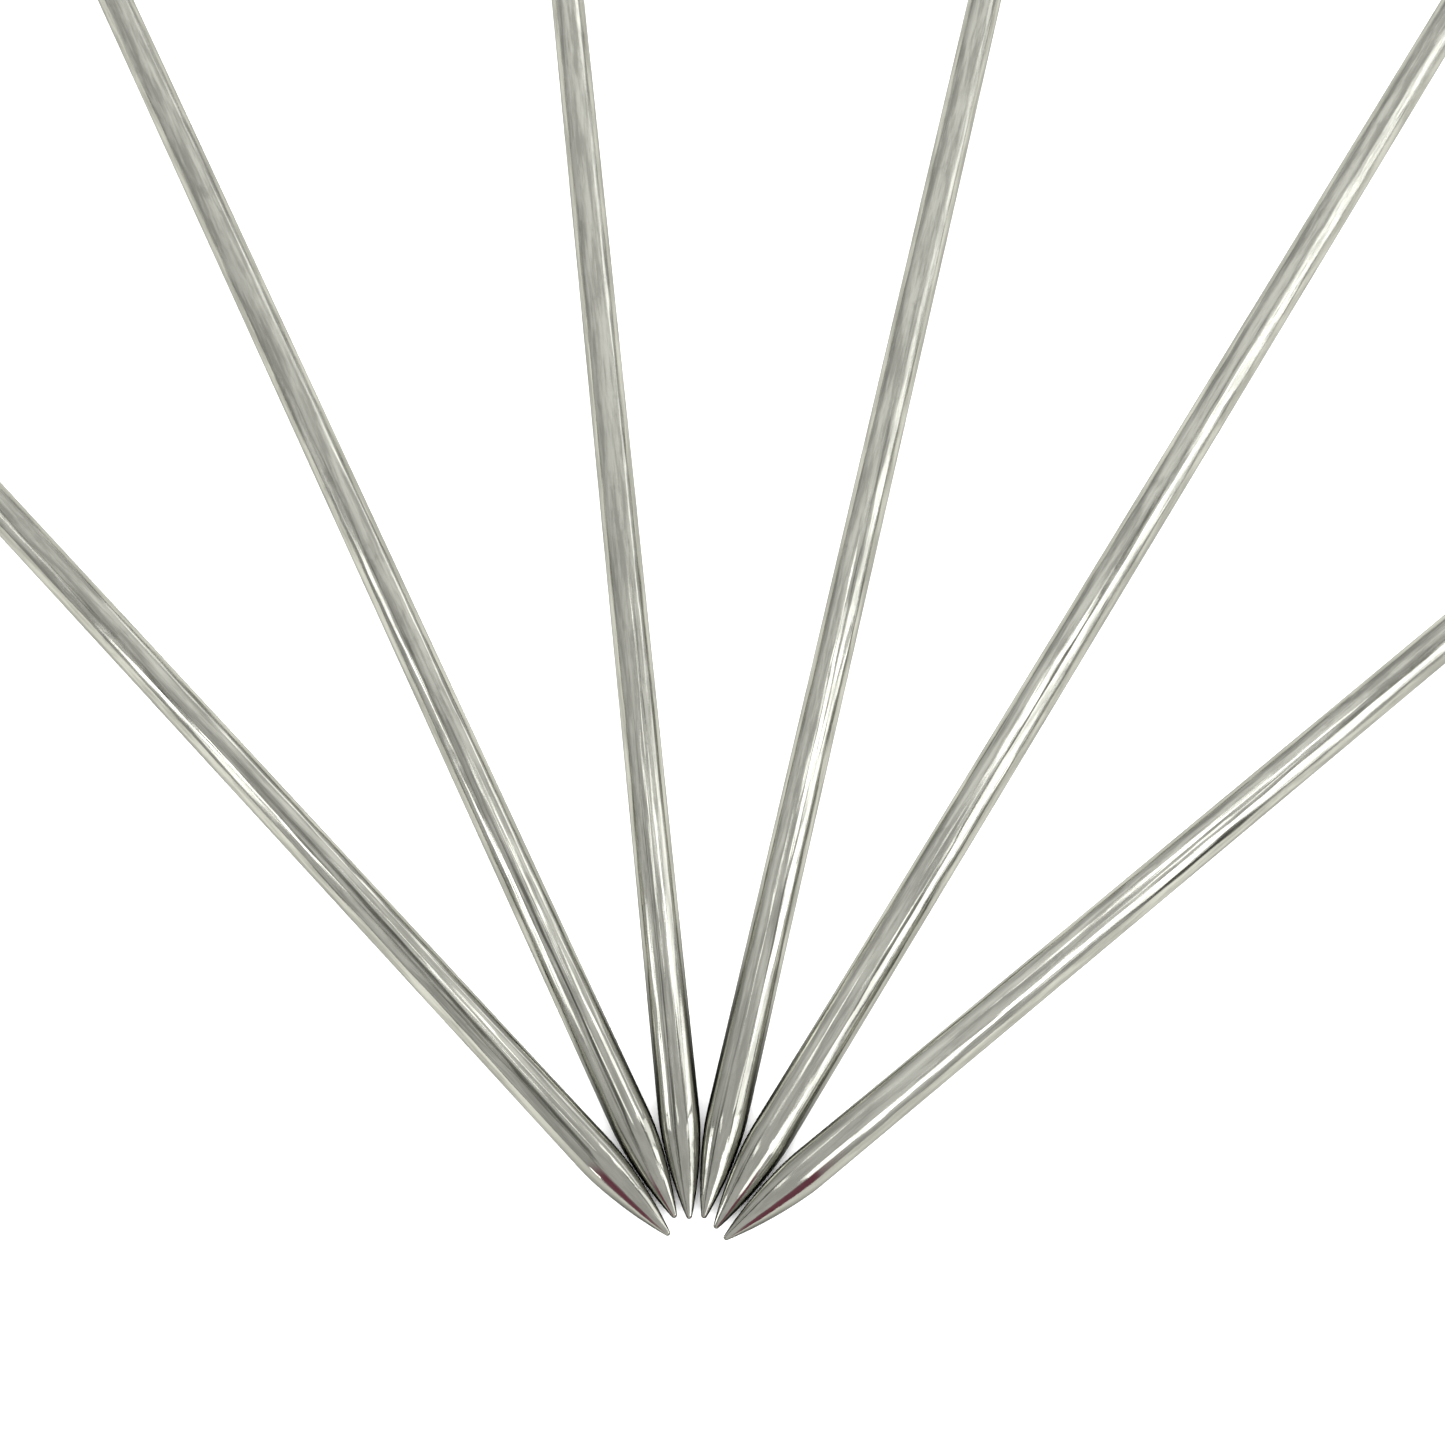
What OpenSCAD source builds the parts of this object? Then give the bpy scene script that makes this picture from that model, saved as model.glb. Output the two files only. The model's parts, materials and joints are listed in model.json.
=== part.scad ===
// Six straight, single-pointed knitting needles of polished metal, laid out in a fan with their points together.
// Each needle is a thin tube with a solid point pressed into one end. A turned plug is pressed into the other
// end, and a drawn cap is crimped over the plug's flange to stop the stitches.
// Units are millimetres. +Z is up, and the points face -Y. The origin is under the middle of the whole fan.

/* [Needle] */
// Overall length, from the tip to the flat end of the head
needle_len = 350; // [250:10:400]
// Diameter of the shaft, which is the needle's size
needle_d = 6; // [5:0.5:8]
// Wall thickness of the shaft's tube
tube_wall = 0.5; // [0.4:0.1:0.8]

/* [Point] */
// Length of the taper, from the tip to the shoulder
point_len = 14.7; // [13:0.1:17]
// Angle between the taper and the shaft where they meet, in degrees
shoulder_angle = 4; // [3:0.5:5]
// Radius of the rounded tip
nose_r = 0.43; // [0.3:0.01:0.5]
// Length of the point's spigot inside the tube
point_spigot_len = 14; // [8:1:20]

/* [Head] */
// Diameter of the cap
head_d = 12; // [11:0.5:14]
// Length of the cap along the needle
head_len = 6.2; // [5.4:0.2:8]
// Thickness of the cap's sheet metal
cap_wall = 0.6; // [0.4:0.1:0.8]
// Outside radius of the cap's rounded edges
cap_edge_r = 1.2; // [1:0.1:1.6]
// Diameter of the opening that the crimped lip leaves around the shaft
lip_d = 8.8; // [8.4:0.1:9]
// Length of the plug's spigot inside the tube
plug_spigot_len = 12; // [8:1:20]

/* [Fits] */
// Radial gap between pressed and bonded pieces
fit_gap = 0.02; // [0.01:0.01:0.05]
// Chamfer on the end of each spigot
spigot_chamfer = 0.4; // [0.2:0.1:0.6]

/* [Hidden] */
COUNT = 6;
$fn = 96;

// Where the needles lie on the table: each tip's place, for a 6 mm needle, and each needle's heading
// away from +Y, turning towards +X. Neighbours come close along their tapers and don't touch.
layout_d = 6;
tip_place = [[-2.6, -2.3], [-1.8, 0.3], [0.2, 0.1], [2.2, 0.2], [3.8, -1.3], [5.1, -2.9]];
heading = [-41.9, -24.2, -5.8, 12.3, 30.2, 49.2];

// Along the needle, z is the distance from the tip.
needle_r = needle_d / 2;
bore_r = needle_r - tube_wall;
head_r = head_d / 2;
tube_end = needle_len - head_len + cap_wall + fit_gap;
head_front_edge = needle_len - head_len + cap_edge_r;

// The taper is one arc that meets the shaft at the shoulder angle and runs into the rounded tip without a break.
nose_to_shoulder = point_len - nose_r;
taper_r = (pow(needle_r, 2) + pow(nose_to_shoulder, 2) - pow(nose_r, 2))
    / (2 * (needle_r * cos(shoulder_angle) - nose_to_shoulder * sin(shoulder_angle) - nose_r));
taper_centre = [needle_r - taper_r * cos(shoulder_angle), point_len + taper_r * sin(shoulder_angle)];
nose_end = taper_centre[1] + taper_r * (nose_r - taper_centre[1]) / (taper_r - nose_r);

// A needle rests on the head's edge and on the shoulder, so it rises slightly towards its head.
slope = atan((head_r - needle_r) / (head_front_edge - point_len));
tip_height = needle_r * cos(slope) - point_len * sin(slope);

// The middle of the fan, from how far the heads reach sideways and forwards, and how far back the tips reach
function tip_at(n) = tip_place[n - 1] * needle_d / layout_d;
function along(n) = [sin(heading[n - 1]), cos(heading[n - 1])] * cos(slope);
function head_reach(n, way) = way * tip_at(n) + (needle_len - cap_edge_r) * (way * along(n))
    + (head_r - cap_edge_r) * sqrt(1 - pow(way * along(n), 2)) + cap_edge_r;
function tip_reach(n, way) = way * tip_at(n) + nose_r * (way * along(n)) + nose_r;
function furthest(way) = max([for (n = [1:COUNT]) max(head_reach(n, way), tip_reach(n, way))]);
fan_middle = [furthest([1, 0]) - furthest([-1, 0]), furthest([0, 1]) - furthest([0, -1])] / 2;

// Puts a needle that stands on its tip along +Z into its place in the fan.
module lay_down(n) {
    place = tip_at(n) - fan_middle;
    translate([place[0], place[1], tip_height])
        rotate([0, 0, -heading[n - 1]])
            rotate([slope - 90, 0, 0])
                children();
}

// A round bar with a chamfered far end
module spigot(length) {
    r = bore_r - fit_gap;
    cylinder(h = length - spigot_chamfer, r = r);
    translate([0, 0, length - spigot_chamfer])
        cylinder(h = spigot_chamfer, r1 = r, r2 = r - spigot_chamfer);
}

// A disc with rounded edges, from z = 0 up
module rounded_disc(r, h, edge_r) {
    rotate_extrude() {
        square([r - edge_r, h]);
        translate([0, edge_r])
            square([r, h - 2 * edge_r]);
        for (z = [edge_r, h - edge_r])
            translate([r - edge_r, z])
                circle(r = edge_r);
    }
}

// The tube, from the shoulder to the plug's flange
module shaft(n) {
    color([0.78, 0.78, 0.75])
        lay_down(n)
            translate([0, 0, point_len])
                difference() {
                    cylinder(h = tube_end - point_len, r = needle_r);
                    translate([0, 0, -1])
                        cylinder(h = tube_end - point_len + 2, r = bore_r);
                }
}

// The turned point: a rounded tip, a long convex taper, and the spigot behind the shoulder
module point(n) {
    color([0.7, 0.7, 0.68])
        lay_down(n) {
            rotate_extrude() {
                intersection() {
                    translate([0, nose_end])
                        square([needle_r, point_len - nose_end]);
                    translate(taper_centre)
                        circle(r = taper_r, $fn = 720);
                }
                intersection() {
                    square([needle_r, nose_end]);
                    translate([0, nose_r])
                        circle(r = nose_r);
                }
            }
            translate([0, 0, point_len])
                spigot(point_spigot_len);
        }
}

// The turned plug: its spigot is in the tube, and its flange fills the cap
module end_plug(n) {
    flange_len = head_len - 2 * (cap_wall + fit_gap);
    color([0.6, 0.6, 0.58])
        lay_down(n) {
            translate([0, 0, tube_end])
                rounded_disc(head_r - cap_wall - fit_gap, flange_len, cap_edge_r - cap_wall);
            translate([0, 0, tube_end + fit_gap])
                mirror([0, 0, 1])
                    spigot(plug_spigot_len);
        }
}

// The drawn cap, closed by its flat end and crimped in at its front around the plug's flange
module head(n) {
    color([0.85, 0.85, 0.82])
        lay_down(n)
            translate([0, 0, needle_len - head_len])
                difference() {
                    rounded_disc(head_r, head_len, cap_edge_r);
                    translate([0, 0, cap_wall])
                        rounded_disc(head_r - cap_wall, head_len - 2 * cap_wall, cap_edge_r - cap_wall);
                    translate([0, 0, -1])
                        cylinder(h = cap_wall + 2, d = lip_d);
                }
}

for (n = [1:COUNT]) {
    shaft(n);
    point(n);
    end_plug(n);
    head(n);
}
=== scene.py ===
import json
import math

import bmesh
import bpy
from mathutils import Matrix, Vector


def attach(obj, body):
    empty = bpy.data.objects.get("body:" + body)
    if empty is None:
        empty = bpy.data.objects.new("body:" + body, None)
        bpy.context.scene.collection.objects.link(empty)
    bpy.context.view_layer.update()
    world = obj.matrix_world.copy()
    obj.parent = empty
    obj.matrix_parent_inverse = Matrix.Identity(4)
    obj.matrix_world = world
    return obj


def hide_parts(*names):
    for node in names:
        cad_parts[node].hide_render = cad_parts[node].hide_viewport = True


# Six polished metal knitting needles on a pale table. Each CAD node is replaced by a finely turned piece of
# the same shape, with its grain, haze and handling marks. Everything is in metres, in the CAD's frame.
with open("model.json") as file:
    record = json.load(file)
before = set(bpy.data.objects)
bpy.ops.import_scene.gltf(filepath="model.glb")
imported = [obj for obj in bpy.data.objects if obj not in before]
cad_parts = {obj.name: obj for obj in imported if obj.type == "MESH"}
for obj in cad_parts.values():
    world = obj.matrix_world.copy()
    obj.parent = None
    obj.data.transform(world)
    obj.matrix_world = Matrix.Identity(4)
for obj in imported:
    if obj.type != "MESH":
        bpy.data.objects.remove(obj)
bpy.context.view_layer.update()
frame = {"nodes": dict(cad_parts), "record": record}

MM = 0.001
COUNT = 6
SIDES = 128

# Shape details that the frame's boxes don't give, as in the CAD source
SHOULDER_ANGLE = math.radians(4)
NOSE_R = 0.43 * MM
SPIGOT_CHAMFER = 0.4 * MM
FIT_GAP = 0.02 * MM
CAP_WALL = 0.6 * MM
CAP_EDGE_R = 1.2 * MM
LIP_R = 4.4 * MM

# Fine details that only the looks have. The cap's end face, with its spun ring, is given in millimetres, as
# how deep it is at each radius.
SHOULDER_BLEND_R = 40 * MM
SHARP_ANGLE = math.radians(14)
CAP_FACE = ((0, 0.9), (0, 1.9), (0, 3.75), (0.09, 3.95), (0.09, 4.05), (0, 4.25))
ON_AXIS = 1e-7

# How far the metal's pattern moves from one needle to the next, in millimetres
GRAIN_STEP = (23.7, 11.3, 41.9)

# A spot on the table near the tips. The lights and cards are placed round it.
NEAR_TIPS = Vector((0, -0.175, 0))

# The white table, the darker sheet that the metal sees just above it, coloured with painted shade, and where
# that painted shade is deepest near the tips
TABLE_HALF = 5.0
TABLE_Z = -0.03 * MM
MIRRORED_Z = -0.02 * MM
SHADE_AHEAD = 0.012
SHADE_SQUEEZE = (2.0, 1.0, 1.0)

# How far away most of the lights and the cards stand, in metres
LIGHT_DISTANCE = 0.87
CARD_DISTANCE = 0.80


# ---------------------------------------------------------------- where the needles are

def mount(name):
    return next(m for m in frame["record"]["mounts"] if m["name"] == name)


def needle_line(n):
    """The middle of the head's end face, and the direction from the tip to the head."""
    face = mount(f"head_face_{n}")
    return Vector(face["pos_m"]), Vector(face["axis"]).normalized()


def reach(node, face, axis):
    """How far a CAD node reaches along the needle, from the head's face, and its least and greatest
    radius."""
    spots = [v.co - face for v in frame["nodes"][node].data.vertices]
    along = [s.dot(axis) for s in spots]
    radii = [(s - a * axis).length for s, a in zip(spots, along)]
    return min(along), max(along), min(radii), max(radii)


def measure(n):
    """The needle's own sizes, with distances from its tip."""
    face, axis = needle_line(n)
    point_low, point_high, _, needle_r = reach(f"point_{n}", face, axis)
    tube_low, tube_high, bore_r, _ = reach(f"shaft_{n}", face, axis)
    plug_low, plug_high, _, flange_r = reach(f"end_plug_{n}", face, axis)
    cap_low, cap_high, _, head_r = reach(f"head_{n}", face, axis)
    return {
        "length": cap_high - point_low,
        "needle_r": needle_r,
        "bore_r": bore_r,
        "shoulder": tube_low - point_low,
        "spigot_end": point_high - point_low,
        "tube_end": tube_high - point_low,
        "plug_start": plug_low - point_low,
        "plug_end": plug_high - point_low,
        "flange_r": flange_r,
        "cap_start": cap_low - point_low,
        "head_r": head_r,
    }


def needle_place(n, size):
    """The matrix of a needle's own frame: its origin at the tip, +Z along the needle and +Y up."""
    face, axis = needle_line(n)
    side = Vector((-axis.y, axis.x, 0)).normalized()
    up = axis.cross(side)
    turn = Matrix((side, up, axis)).transposed().to_4x4()
    return Matrix.Translation(face - axis * size["length"]) @ turn


# ---------------------------------------------------------------- turned pieces

def arc(centre_z, centre_r, radius, start, end, steps):
    """Points (z, r) on an arc, from one angle to another, with the angle measured from +z towards +r."""
    angles = [start + (end - start) * i / steps for i in range(steps + 1)]
    return [(centre_z + radius * math.cos(a), centre_r + radius * math.sin(a)) for a in angles]


def line(start, end, steps):
    """Points (z, r) on a straight line, both ends included."""
    return [
        (start[0] + (end[0] - start[0]) * i / steps, start[1] + (end[1] - start[1]) * i / steps)
        for i in range(steps + 1)
    ]


def turned(name, outline, closed):
    """A mesh turned round Z from an outline of (z, r) points. A closed outline makes a ring, and an open
    one starts and ends on the axis."""
    mesh = bpy.data.meshes.new(name)
    form = bmesh.new()
    rings = []
    for z, r in outline:
        if r < ON_AXIS:
            rings.append([form.verts.new((0, 0, z))])
            continue
        turn = [2 * math.pi * i / SIDES for i in range(SIDES)]
        rings.append([form.verts.new((r * math.cos(a), r * math.sin(a), z)) for a in turn])
    pairs = list(zip(rings, rings[1:]))
    if closed:
        pairs.append((rings[-1], rings[0]))
    for low, high in pairs:
        for i in range(SIDES):
            j = (i + 1) % SIDES
            if len(low) == 1:
                form.faces.new((low[0], high[j], high[i]))
            elif len(high) == 1:
                form.faces.new((low[i], low[j], high[0]))
            else:
                form.faces.new((low[i], low[j], high[j], high[i]))
    bmesh.ops.recalc_face_normals(form, faces=form.faces)
    form.to_mesh(mesh)
    form.free()
    mesh.shade_smooth()
    mesh.set_sharp_from_angle(angle=SHARP_ANGLE)
    return mesh


def taper_and_blend(size):
    """The taper's arc, and the arc that blends it into the shaft, each as (middle z, middle r, radius). Then
    the angles, measured from +z towards +r, at which the nose ends, the blend starts and the joint is."""
    r, shoulder = size["needle_r"], size["shoulder"]
    to_shoulder = shoulder - NOSE_R
    taper_r = (r ** 2 + to_shoulder ** 2 - NOSE_R ** 2) / (
        2 * (r * math.cos(SHOULDER_ANGLE) - to_shoulder * math.sin(SHOULDER_ANGLE) - NOSE_R)
    )
    middle_r = r - taper_r * math.cos(SHOULDER_ANGLE)
    middle_z = shoulder + taper_r * math.sin(SHOULDER_ANGLE)
    nose_turn = math.atan2(-middle_r, NOSE_R - middle_z)
    blend_r = r - SHOULDER_BLEND_R
    blend_z = middle_z - math.sqrt((taper_r - SHOULDER_BLEND_R) ** 2 - (blend_r - middle_r) ** 2)
    blend_turn = math.atan2(blend_r - middle_r, blend_z - middle_z)
    joint_turn = math.acos((shoulder - blend_z) / SHOULDER_BLEND_R)
    taper = (middle_z, middle_r, taper_r)
    blend = (blend_z, blend_r, SHOULDER_BLEND_R)
    return taper, blend, nose_turn, blend_turn, joint_turn


def point_outline(size):
    """The rounded tip, the long convex taper, its blend towards the shaft, and the spigot in the tube."""
    taper, blend, nose_turn, blend_turn, joint_turn = taper_and_blend(size)
    nose = arc(NOSE_R, 0, NOSE_R, math.pi, nose_turn, 12)
    nose[0] = (0, 0)
    outside = arc(*taper, nose_turn, blend_turn, 72)[1:] + arc(*blend, blend_turn, joint_turn, 16)[1:]
    spigot_r = size["bore_r"] - FIT_GAP
    chamfer_start = size["spigot_end"] - SPIGOT_CHAMFER
    spigot = line((size["shoulder"], spigot_r), (chamfer_start, spigot_r), 6)
    spigot += [(size["spigot_end"], spigot_r - SPIGOT_CHAMFER), (size["spigot_end"], 0)]
    return nose + outside + spigot


def shaft_outline(size):
    """The tube. The end of the point's blend is ground on it, so that the joint can't be seen or felt."""
    bore, start, end = size["bore_r"], size["shoulder"], size["tube_end"]
    _, blend, _, _, joint_turn = taper_and_blend(size)
    blended = arc(*blend, joint_turn, math.pi / 2, 10)
    outside = line(blended[-1], (end, size["needle_r"]), 48)[1:]
    inside = line((end, bore), (start, bore), 8)
    return blended + outside + inside


def plug_outline(size):
    """The plug's spigot, from inside the tube, and its round-edged flange."""
    spigot_r = size["bore_r"] - FIT_GAP
    start, end, flange_r = size["plug_start"], size["plug_end"], size["flange_r"]
    flange = size["tube_end"]
    edge = CAP_EDGE_R - CAP_WALL
    outline = [(start, 0), (start, spigot_r - SPIGOT_CHAMFER)]
    outline += line((start + SPIGOT_CHAMFER, spigot_r), (flange, spigot_r), 6)
    outline += line((flange, spigot_r + FIT_GAP), (flange, flange_r - edge), 4)
    outline += arc(flange + edge, flange_r - edge, edge, math.pi, math.pi / 2, 10)[1:]
    outline += arc(end - edge, flange_r - edge, edge, math.pi / 2, 0, 10)
    return outline + [(end, 0)]


def head_outline(size):
    """The drawn cap: its flat end with a shallow spun ring, its rounded edges, and the crimped lip."""
    r, start, end = size["head_r"], size["cap_start"], size["length"]
    inner_edge = CAP_EDGE_R - CAP_WALL
    outline = [(end, 0)]
    outline += [(end - depth * MM, radius * MM) for depth, radius in CAP_FACE]
    outline += arc(end - CAP_EDGE_R, r - CAP_EDGE_R, CAP_EDGE_R, 0, math.pi / 2, 14)
    outline += line((end - CAP_EDGE_R, r), (start + CAP_EDGE_R, r), 4)[1:]
    outline += arc(start + CAP_EDGE_R, r - CAP_EDGE_R, CAP_EDGE_R, math.pi / 2, math.pi, 14)[1:]
    lip = CAP_WALL / 2
    outline += arc(start + lip, LIP_R + lip, lip, math.pi, 3 * math.pi / 2, 6)
    outline += arc(start + lip, LIP_R + lip, lip, 3 * math.pi / 2, 2 * math.pi, 6)[1:]
    outline += arc(start + CAP_EDGE_R, r - CAP_EDGE_R, inner_edge, math.pi, math.pi / 2, 8)
    outline += arc(end - CAP_EDGE_R, r - CAP_EDGE_R, inner_edge, math.pi / 2, 0, 8)
    return outline + [(end - CAP_WALL, 0)]


def mark_grain(mesh, n, length):
    """Stores where the metal's pattern is read, in millimetres and different for each needle, and how far
    along the needle a vertex is, from 0 at the tip to 1 at the head."""
    start = Vector([step * n for step in GRAIN_STEP])
    spots = [v.co.copy() for v in mesh.vertices]
    grain = mesh.attributes.new("grain", "FLOAT_VECTOR", "POINT")
    grain.data.foreach_set("vector", [x for spot in spots for x in spot / MM + start])
    along = mesh.attributes.new("along", "FLOAT", "POINT")
    along.data.foreach_set("value", [spot.z / length for spot in spots])


# ---------------------------------------------------------------- materials

class Nodes:
    """A short way to write a node tree."""

    def __init__(self, tree):
        self.tree = tree
        tree.nodes.clear()

    def add(self, kind, settings=None, **inputs):
        """Adds a node. An input is named, or numbered as in _0, and is a value or another node's socket."""
        made = self.tree.nodes.new(kind)
        for name, value in (settings or {}).items():
            setattr(made, name, value)
        for name, value in inputs.items():
            socket = int(name[1:]) if name[1:].isdigit() else name
            self.feed(made.inputs[socket], value)
        return made

    def feed(self, socket, value):
        if isinstance(value, bpy.types.NodeSocket):
            self.tree.links.new(value, socket)
        else:
            socket.default_value = value

    def math(self, operation, a, b, c=0.0):
        return self.add("ShaderNodeMath", {"operation": operation}, _0=a, _1=b, _2=c).outputs[0]

    def vector(self, operation, a, b):
        return self.add("ShaderNodeVectorMath", {"operation": operation}, _0=a, _1=b).outputs[0]

    def noise(self, grain, stretch, detail, roughness=0.5):
        """Noise on the grain, with a frequency per millimetre in each direction."""
        place = self.vector("MULTIPLY", grain, stretch)
        settings = {"Scale": 1.0, "Detail": detail, "Roughness": roughness}
        return self.add("ShaderNodeTexNoise", None, Vector=place, **settings).outputs["Fac"]

    def between(self, value, low, high, to_low, to_high):
        """Carries a value from one range to another, smoothly and clamped."""
        made = self.add("ShaderNodeMapRange", {"interpolation_type": "SMOOTHSTEP"}, Value=value)
        ends = {"From Min": low, "From Max": high, "To Min": to_low, "To Max": to_high}
        for name, number in ends.items():
            self.feed(made.inputs[name], number)
        return made.outputs["Result"]

    def blend(self, share, first, second):
        """Mixes two colours by a share."""
        made = self.add("ShaderNodeMix", {"data_type": "RGBA"})
        self.feed(made.inputs[0], share)
        self.feed(made.inputs[6], first)
        self.feed(made.inputs[7], second)
        return made.outputs[2]

    def finish(self, shader, kind="ShaderNodeOutputMaterial"):
        self.add(kind, None, Surface=shader.outputs[0])


def new_material(name):
    made = bpy.data.materials.new(name)
    made.use_nodes = True
    return made, Nodes(made.node_tree)


def metal(name, dark, light, smooth, hazy, wander, ribs, lines, grit):
    """Polished metal. Its colour goes from dark to light with smears and smudges. Its roughness goes from
    smooth to hazy with the haze, which thickens towards the head. It is darker and straighter near the tip.
    Wander, ribs, lines and grit are the heights in millimetres of slow waves, long drawn ribs, fine draw
    lines and fine grit."""
    made, nodes = new_material(name)
    grain = nodes.add("ShaderNodeAttribute", {"attribute_name": "grain"}).outputs["Vector"]
    along = nodes.add("ShaderNodeAttribute", {"attribute_name": "along"}).outputs["Fac"]

    waves = nodes.noise(grain, (0.45, 0.45, 0.045), 2.0)
    long_ribs = nodes.noise(grain, (1.3, 1.3, 0.016), 2.0)
    fine = nodes.noise(grain, (4.5, 4.5, 0.07), 3.0, 0.6)
    dust = nodes.noise(grain, (6.0, 6.0, 4.0), 2.0)
    haze = nodes.noise(grain, (0.35, 0.35, 0.11), 5.0, 0.6)
    smears = nodes.noise(grain, (0.9, 0.9, 0.07), 4.0, 0.65)
    smudges = nodes.noise(grain, (0.25, 0.25, 0.12), 5.0, 0.65)

    calm = nodes.between(along, 0.03, 0.11, 0.35, 1.0)
    clouded = nodes.between(haze, 0.38, 0.66, 0.0, 1.0)
    further = nodes.between(along, 0.08, 0.65, 0.0, 1.0)
    clouding = nodes.math("MULTIPLY_ADD", further, 0.5, nodes.math("MULTIPLY", clouded, 0.5))
    smudged = nodes.between(smudges, 0.56, 0.74, 0.0, 0.5)
    smeared = nodes.between(smears, 0.35, 0.65, 0.0, 1.0)
    tint = nodes.math("MULTIPLY", nodes.math("SUBTRACT", smeared, smudged), calm)
    colour = nodes.blend(tint, (*dark, 1), (*light, 1))
    rough = nodes.between(clouding, 0.0, 1.0, smooth, hazy)
    streaked = nodes.math("MULTIPLY_ADD", fine, 0.06, nodes.math("SUBTRACT", rough, 0.03))

    height = nodes.math("MULTIPLY", waves, wander)
    height = nodes.math("MULTIPLY_ADD", long_ribs, ribs, height)
    height = nodes.math("MULTIPLY", height, calm)
    height = nodes.math("MULTIPLY_ADD", fine, lines, height)
    height = nodes.math("MULTIPLY_ADD", dust, grit, height)
    bump = nodes.add("ShaderNodeBump", None, Strength=1.0, Distance=MM, Height=height).outputs["Normal"]

    shader = nodes.add("ShaderNodeBsdfPrincipled", None, Metallic=1.0, Roughness=streaked, Normal=bump)
    nodes.feed(shader.inputs["Base Color"], colour)
    nodes.feed(shader.inputs["Specular Tint"], (0.8, 0.8, 0.8, 1))
    nodes.finish(shader)
    return made


def table_top(name):
    """A plain, pale matt sheet."""
    made, nodes = new_material(name)
    shader = nodes.add("ShaderNodeBsdfPrincipled", None, Roughness=0.85)
    nodes.feed(shader.inputs["Base Color"], (0.85, 0.85, 0.85, 1))
    nodes.feed(shader.inputs["Specular IOR Level"], 0.0)
    nodes.finish(shader)
    return made


def painted_shade_table_top(name, middle):
    """A matt sheet coloured with painted shade: near black round the middle of the tips, as painted shade in
    the gaps between the needles, and a paler shaded grey further away.
    """
    made, nodes = new_material(name)
    place = nodes.add("ShaderNodeTexCoord").outputs["Object"]
    shaded = Vector((middle.x, middle.y + SHADE_AHEAD, 0))
    offset = nodes.vector("SUBTRACT", place, shaded)
    squeezed = nodes.vector("MULTIPLY", offset, SHADE_SQUEEZE)
    away = nodes.add("ShaderNodeVectorMath", {"operation": "LENGTH"}, _0=squeezed).outputs["Value"]
    share = nodes.between(away, 0.008, 0.050, 0.0, 1.0)
    # Painted shade: the colour goes from near black at the middle of the tips to a shaded grey further out
    colour = nodes.blend(share, (0.016, 0.016, 0.014, 1), (0.28, 0.28, 0.265, 1))
    shader = nodes.add("ShaderNodeBsdfDiffuse", None, Color=colour)
    nodes.finish(shader)
    return made


def soft_card(name, colour, fade):
    """An evenly lit card whose edges fade out over a share of its width and height."""
    made, nodes = new_material(name)
    place = nodes.add("ShaderNodeTexCoord").outputs["Generated"]
    split = nodes.add("ShaderNodeSeparateXYZ", None, Vector=place)
    shares = []
    for across in split.outputs[:2]:
        from_edge = nodes.math("PINGPONG", across, 0.5)
        shares.append(nodes.between(from_edge, 0.0, fade, 0.0, 1.0))
    clear = nodes.add("ShaderNodeBsdfTransparent")
    glow = nodes.add("ShaderNodeEmission", None, Color=(*colour, 1), Strength=1.0)
    mix = nodes.add("ShaderNodeMixShader", None, Fac=nodes.math("MULTIPLY", *shares))
    nodes.feed(mix.inputs[1], clear.outputs[0])
    nodes.feed(mix.inputs[2], glow.outputs[0])
    nodes.finish(mix)
    return made


# ---------------------------------------------------------------- the needles

def make_metals():
    """One metal for each kind of piece. The point's and the shaft's are the same, so that the joint between
    them doesn't show."""
    polish = dict(
        dark=(0.43, 0.43, 0.39), light=(0.69, 0.69, 0.63), smooth=0.045, hazy=0.25,
        wander=0.15, ribs=0.036, lines=0.007, grit=0.002,
    )
    plug = dict(
        dark=(0.42, 0.42, 0.40), light=(0.50, 0.50, 0.48), smooth=0.25, hazy=0.40,
        wander=0.02, ribs=0.01, lines=0.006, grit=0.003,
    )
    head = dict(
        dark=(0.52, 0.52, 0.47), light=(0.66, 0.66, 0.60), smooth=0.12, hazy=0.26,
        wander=0.03, ribs=0.01, lines=0.003, grit=0.002,
    )
    return {
        "point": metal("point_metal", **polish),
        "shaft": metal("shaft_metal", **polish),
        "end_plug": metal("plug_metal", **plug),
        "head": metal("head_metal", **head),
    }


def make_needles(size):
    outlines = {
        "point": (point_outline(size), False),
        "shaft": (shaft_outline(size), True),
        "end_plug": (plug_outline(size), False),
        "head": (head_outline(size), False),
    }
    metals = make_metals()
    for n in range(1, COUNT + 1):
        place = needle_place(n, size)
        for part, (outline, closed) in outlines.items():
            mesh = turned(f"{part}_{n}_turned", outline, closed)
            mark_grain(mesh, n, size["length"])
            mesh.materials.append(metals[part])
            piece = bpy.data.objects.new(f"{part}_{n}_turned", mesh)
            bpy.context.scene.collection.objects.link(piece)
            piece.matrix_world = place
            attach(piece, f"needle_{n}")
            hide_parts(f"{part}_{n}")


# ---------------------------------------------------------------- table, light and camera

def direction(azimuth, elevation):
    """A direction from its azimuth, from +Y towards +X, and its height above the horizon, in degrees."""
    a, e = math.radians(azimuth), math.radians(elevation)
    return Vector((math.sin(a) * math.cos(e), math.cos(a) * math.cos(e), math.sin(e)))


def face_needles(piece, azimuth, elevation, distance, twist):
    """Stands a panel in a direction from the spot near the tips, facing it. Its own X is level and its own
    Y is up, unless it's twisted, in degrees."""
    way = direction(azimuth, elevation)
    level = Vector((0, 0, 1)).cross(way).normalized()
    rise = way.cross(level)
    upright = Matrix((level, rise, way)).transposed().to_4x4()
    turn = upright @ Matrix.Rotation(math.radians(twist), 4, "Z")
    piece.matrix_world = Matrix.Translation(NEAR_TIPS + way * distance) @ turn


def span(degrees, distance):
    """How wide a panel is that covers this angle from the spot near the tips."""
    return 2 * distance * math.tan(math.radians(degrees) / 2)


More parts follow.
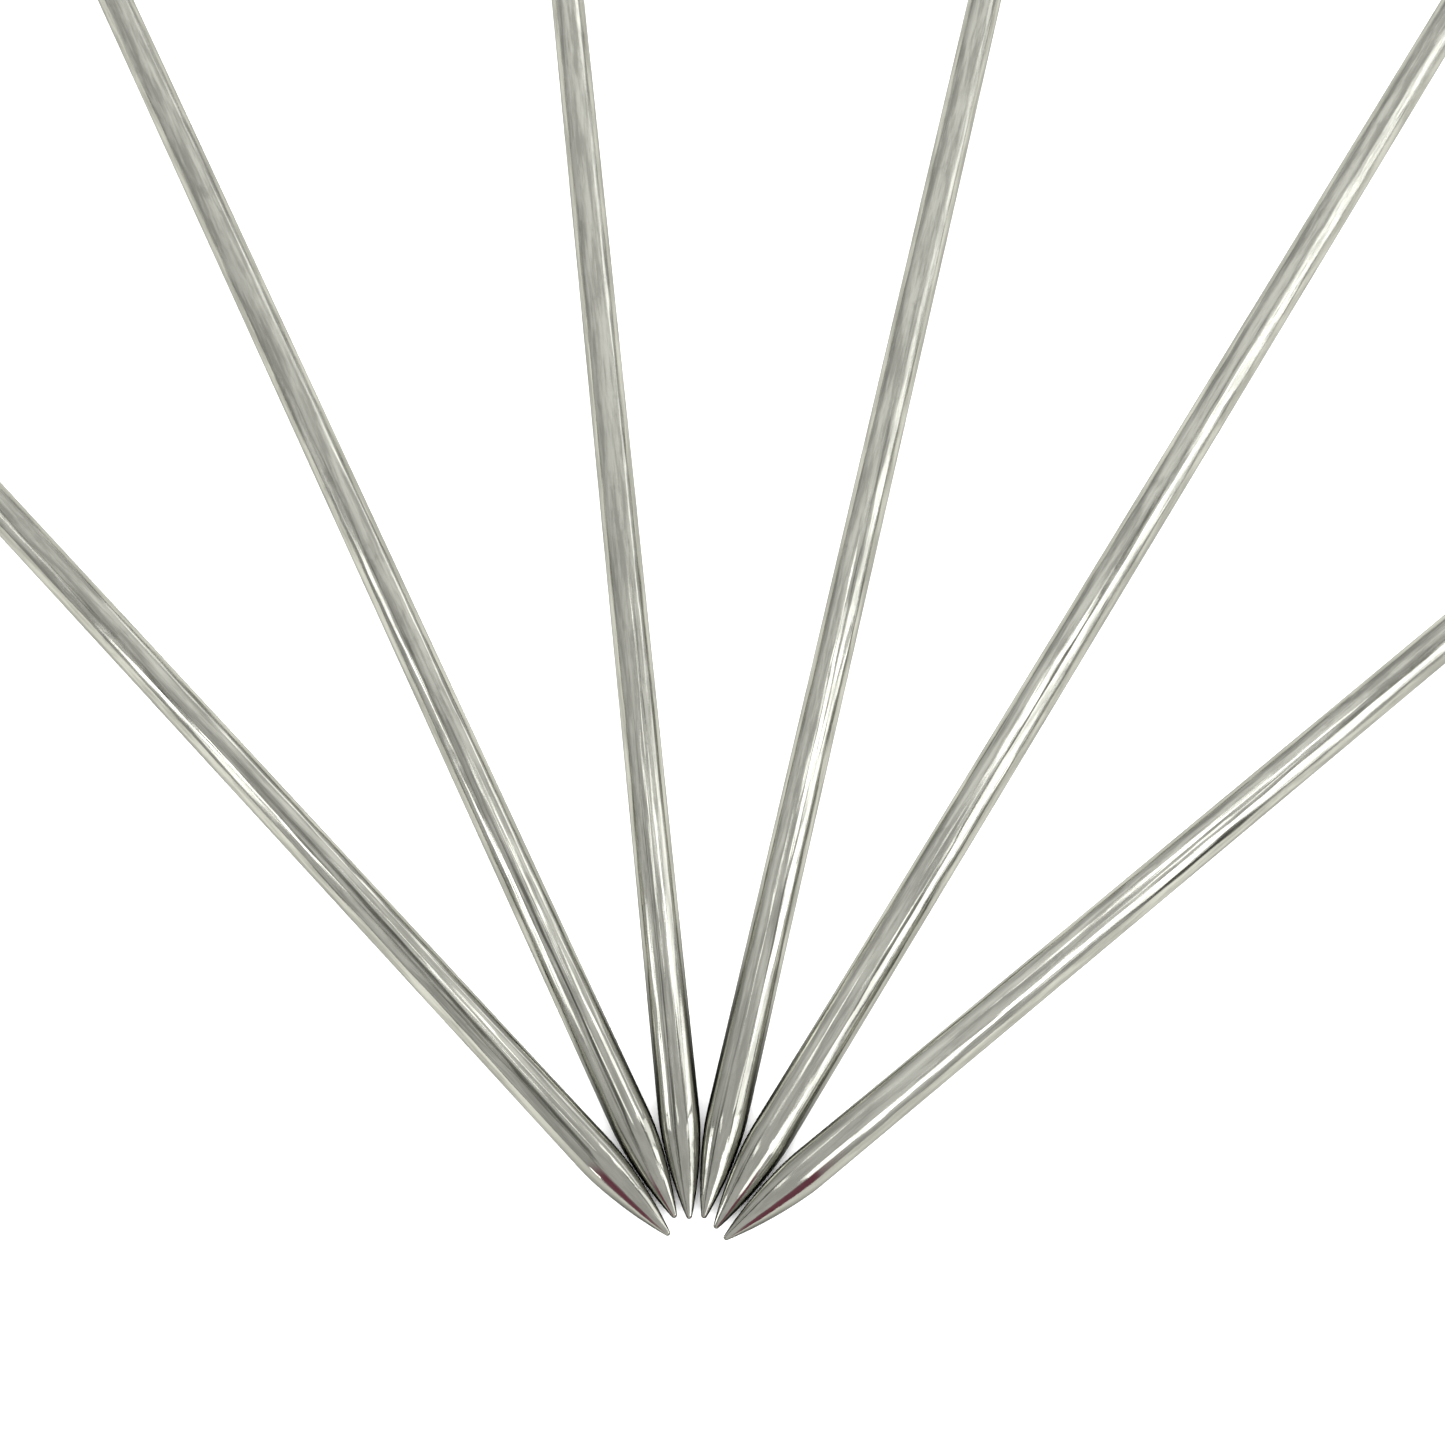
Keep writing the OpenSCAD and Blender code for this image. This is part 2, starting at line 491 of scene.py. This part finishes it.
def softbox(name, azimuth, elevation, wide, tall, radiance, distance=LIGHT_DISTANCE, twist=0):
    """A rectangular light that covers wide by tall degrees. Its radiance is what a perfect mirror shows of
    it."""
    lamp = bpy.data.lights.new(name, "AREA")
    lamp.shape = "RECTANGLE"
    lamp.size = span(wide, distance)
    lamp.size_y = span(tall, distance)
    lamp.energy = math.pi * lamp.size * lamp.size_y * radiance
    box = bpy.data.objects.new(name, lamp)
    bpy.context.scene.collection.objects.link(box)
    face_needles(box, azimuth, elevation, distance, twist)
    box.visible_camera = False
    return box


def card(name, azimuth, elevation, wide, tall, colour, distance=CARD_DISTANCE, twist=0, fade=0.2):
    """A soft-edged card that covers wide by tall degrees. Only the metal sees it."""
    x, y = span(wide, distance) / 2, span(tall, distance) / 2
    made = sheet(name, x, y, soft_card(name, colour, fade))
    face_needles(made, azimuth, elevation, distance, twist)
    only_for_metal(made)


def only_for_metal(piece):
    piece.visible_camera = False
    piece.visible_diffuse = False
    piece.visible_shadow = False


def sheet(name, half_x, half_y, material):
    """One flat sheet round its origin, as part of the stage."""
    corners = [(-half_x, -half_y, 0), (half_x, -half_y, 0), (half_x, half_y, 0), (-half_x, half_y, 0)]
    mesh = bpy.data.meshes.new(name)
    mesh.from_pydata(corners, [], [(0, 1, 2, 3)])
    mesh.materials.append(material)
    made = bpy.data.objects.new(name, mesh)
    bpy.context.scene.collection.objects.link(made)
    return made


def make_table(size):
    """A white table. The metal sees a darker sheet in the same place, coloured with painted shade, as it
    would see a table that the needles and whoever stands over them keep in their shade."""
    table = sheet("table_top", TABLE_HALF, TABLE_HALF, table_top("table_top"))
    table.location.z = TABLE_Z
    table.visible_glossy = False
    tips = [needle_place(n, size).translation for n in range(1, COUNT + 1)]
    middle = sum(tips, Vector()) / COUNT
    # The metal's view of the table, darkened with painted shade
    shaded = painted_shade_table_top("mirrored_table_painted_shade", middle)
    mirrored = sheet("mirrored_table_painted_shade", TABLE_HALF, TABLE_HALF, shaded)
    mirrored.location.z = MIRRORED_Z
    only_for_metal(mirrored)


def make_room():
    """An even, pale room, darker along the horizon, with a brighter ceiling beyond the heads."""
    world = bpy.data.worlds.new("room")
    bpy.context.scene.world = world
    world.use_nodes = True
    nodes = Nodes(world.node_tree)
    way = nodes.add("ShaderNodeTexCoord").outputs["Generated"]
    split = nodes.add("ShaderNodeSeparateXYZ", None, Vector=way)
    side, ahead, rise = split.outputs[:3]
    walls = nodes.between(rise, 0.0, 0.6, 0.50, 0.66)
    high = nodes.between(rise, 0.38, 0.62, 0.0, 0.18)
    facing = nodes.between(ahead, 0.40, 0.70, 0.0, 1.0)
    lift = nodes.math("MULTIPLY_ADD", high, facing, walls)
    strength = nodes.math("MULTIPLY", lift, nodes.between(side, -1.0, 1.0, 0.94, 1.06))
    shader = nodes.add("ShaderNodeBackground", None, Color=(1.0, 1.0, 0.98, 1), Strength=strength)
    nodes.finish(shader, "ShaderNodeOutputWorld")


def make_windows():
    """Tall window panes on the right, in a row that climbs to the right, two higher ones, and a pale far
    wall. A tall pane's numbers are its azimuth, how wide it is, and its radiance."""
    panes = ((52, 8, 0.9), (59.5, 4, 1.6), (69, 9, 1.8), (77.5, 5, 1.1), (88.5, 13, 1.5), (103, 12, 1.45))
    middle_azimuth = 85
    middle_elevation = 27
    climb = math.tan(math.radians(9))
    tall = 33
    for number, (azimuth, wide, radiance) in enumerate(panes):
        rise = (azimuth - middle_azimuth) * climb
        softbox(f"right_pane_{number}", azimuth, middle_elevation + rise, wide, tall, radiance)
    softbox("right_high_pane", 110, 44, 26, 22, 1.7, distance=0.45, twist=-6)
    softbox("right_upper_pane", 30, 43, 20, 9, 1.7, distance=0.25, twist=10)
    softbox("far_wall", 26, 18, 38, 9, 0.95)


def make_lamps():
    """A row of ceiling tubes, a small window and a low lamp on the left, and a large soft light overhead
    that the metal doesn't mirror. A tube's numbers are its azimuth, elevation and distance. A pane's are
    its azimuth, how wide it is, its radiance and its distance."""
    tubes = (
        (-41, 66, 0.28), (-17, 54, 0.32), (6, 48, 0.35),
        (33, 49, 0.35), (64, 51, 0.34), (97, 53, 0.33),
    )
    for number, (azimuth, elevation, distance) in enumerate(tubes):
        softbox(f"ceiling_tube_{number}", azimuth, elevation, 4, 11, 1.35, distance)
    panes = ((-77, 5, 1.5, 0.22), (-70, 7, 2.2, 0.22), (-67, 5, 1.5, 0.45))
    pane_elevation = 22
    pane_tall = 19
    for number, (azimuth, wide, radiance, distance) in enumerate(panes):
        softbox(f"left_pane_{number}", azimuth, pane_elevation, wide, pane_tall, radiance, distance)
    softbox("left_lamp", -121, 6, 5, 5, 6.0)
    key = softbox("key", 180, 80, 110, 110, 4.2, distance=0.7)
    key.visible_glossy = False


def make_cards():
    """Dark bars and shade between the lights, and a wine-coloured drape on each side of the tips."""
    dark = (0.12, 0.12, 0.11)
    shade = (0.15, 0.15, 0.135)
    dim = (0.32, 0.32, 0.30)
    wine = (0.24, 0.08, 0.115)
    card("right_bar", 85, 17, 80, 2.2, dark, twist=-9)
    card("right_pelmet", 60, 48, 56, 8, dim, twist=2)
    card("left_bar", -70, 22, 24, 2.5, dark, distance=0.20, twist=6)
    card("left_pelmet", -84, 46, 60, 8, dim, twist=4)
    card("left_low_shade", -100, 0, 28, 14, dim)
    card("right_low_shade", 74, 7, 20, 16, dark, distance=0.12)
    card("left_shade", -72, 57, 58, 14, shade, distance=0.35, fade=0.35)
    card("right_drape", 139, 20, 52, 60, wine, distance=0.065)
    card("left_drape", -119, 23, 36, 44, wine, distance=0.087, fade=0.3)


def make_camera():
    """Looks down at the table from 60 degrees above it and 0.43 m away."""
    aim = Vector((-0.0117, -0.0901, 0))
    distance = 0.4324
    azimuth = 180
    elevation = 60
    lens = bpy.data.cameras.new("camera")
    lens.sensor_width = 36
    lens.lens = 68.49
    camera = bpy.data.objects.new("camera", lens)
    bpy.context.scene.collection.objects.link(camera)
    camera.location = aim + direction(azimuth, elevation) * distance
    camera.rotation_euler = (math.radians(90 - elevation), 0, 0)
    lens.clip_start = 0.01
    lens.clip_end = 50
    bpy.context.scene.camera = camera


needle_size = measure(1)
make_camera()
make_needles(needle_size)
make_table(needle_size)
make_room()
make_windows()
make_lamps()
make_cards()
bpy.context.scene.view_settings.view_transform = "Standard"
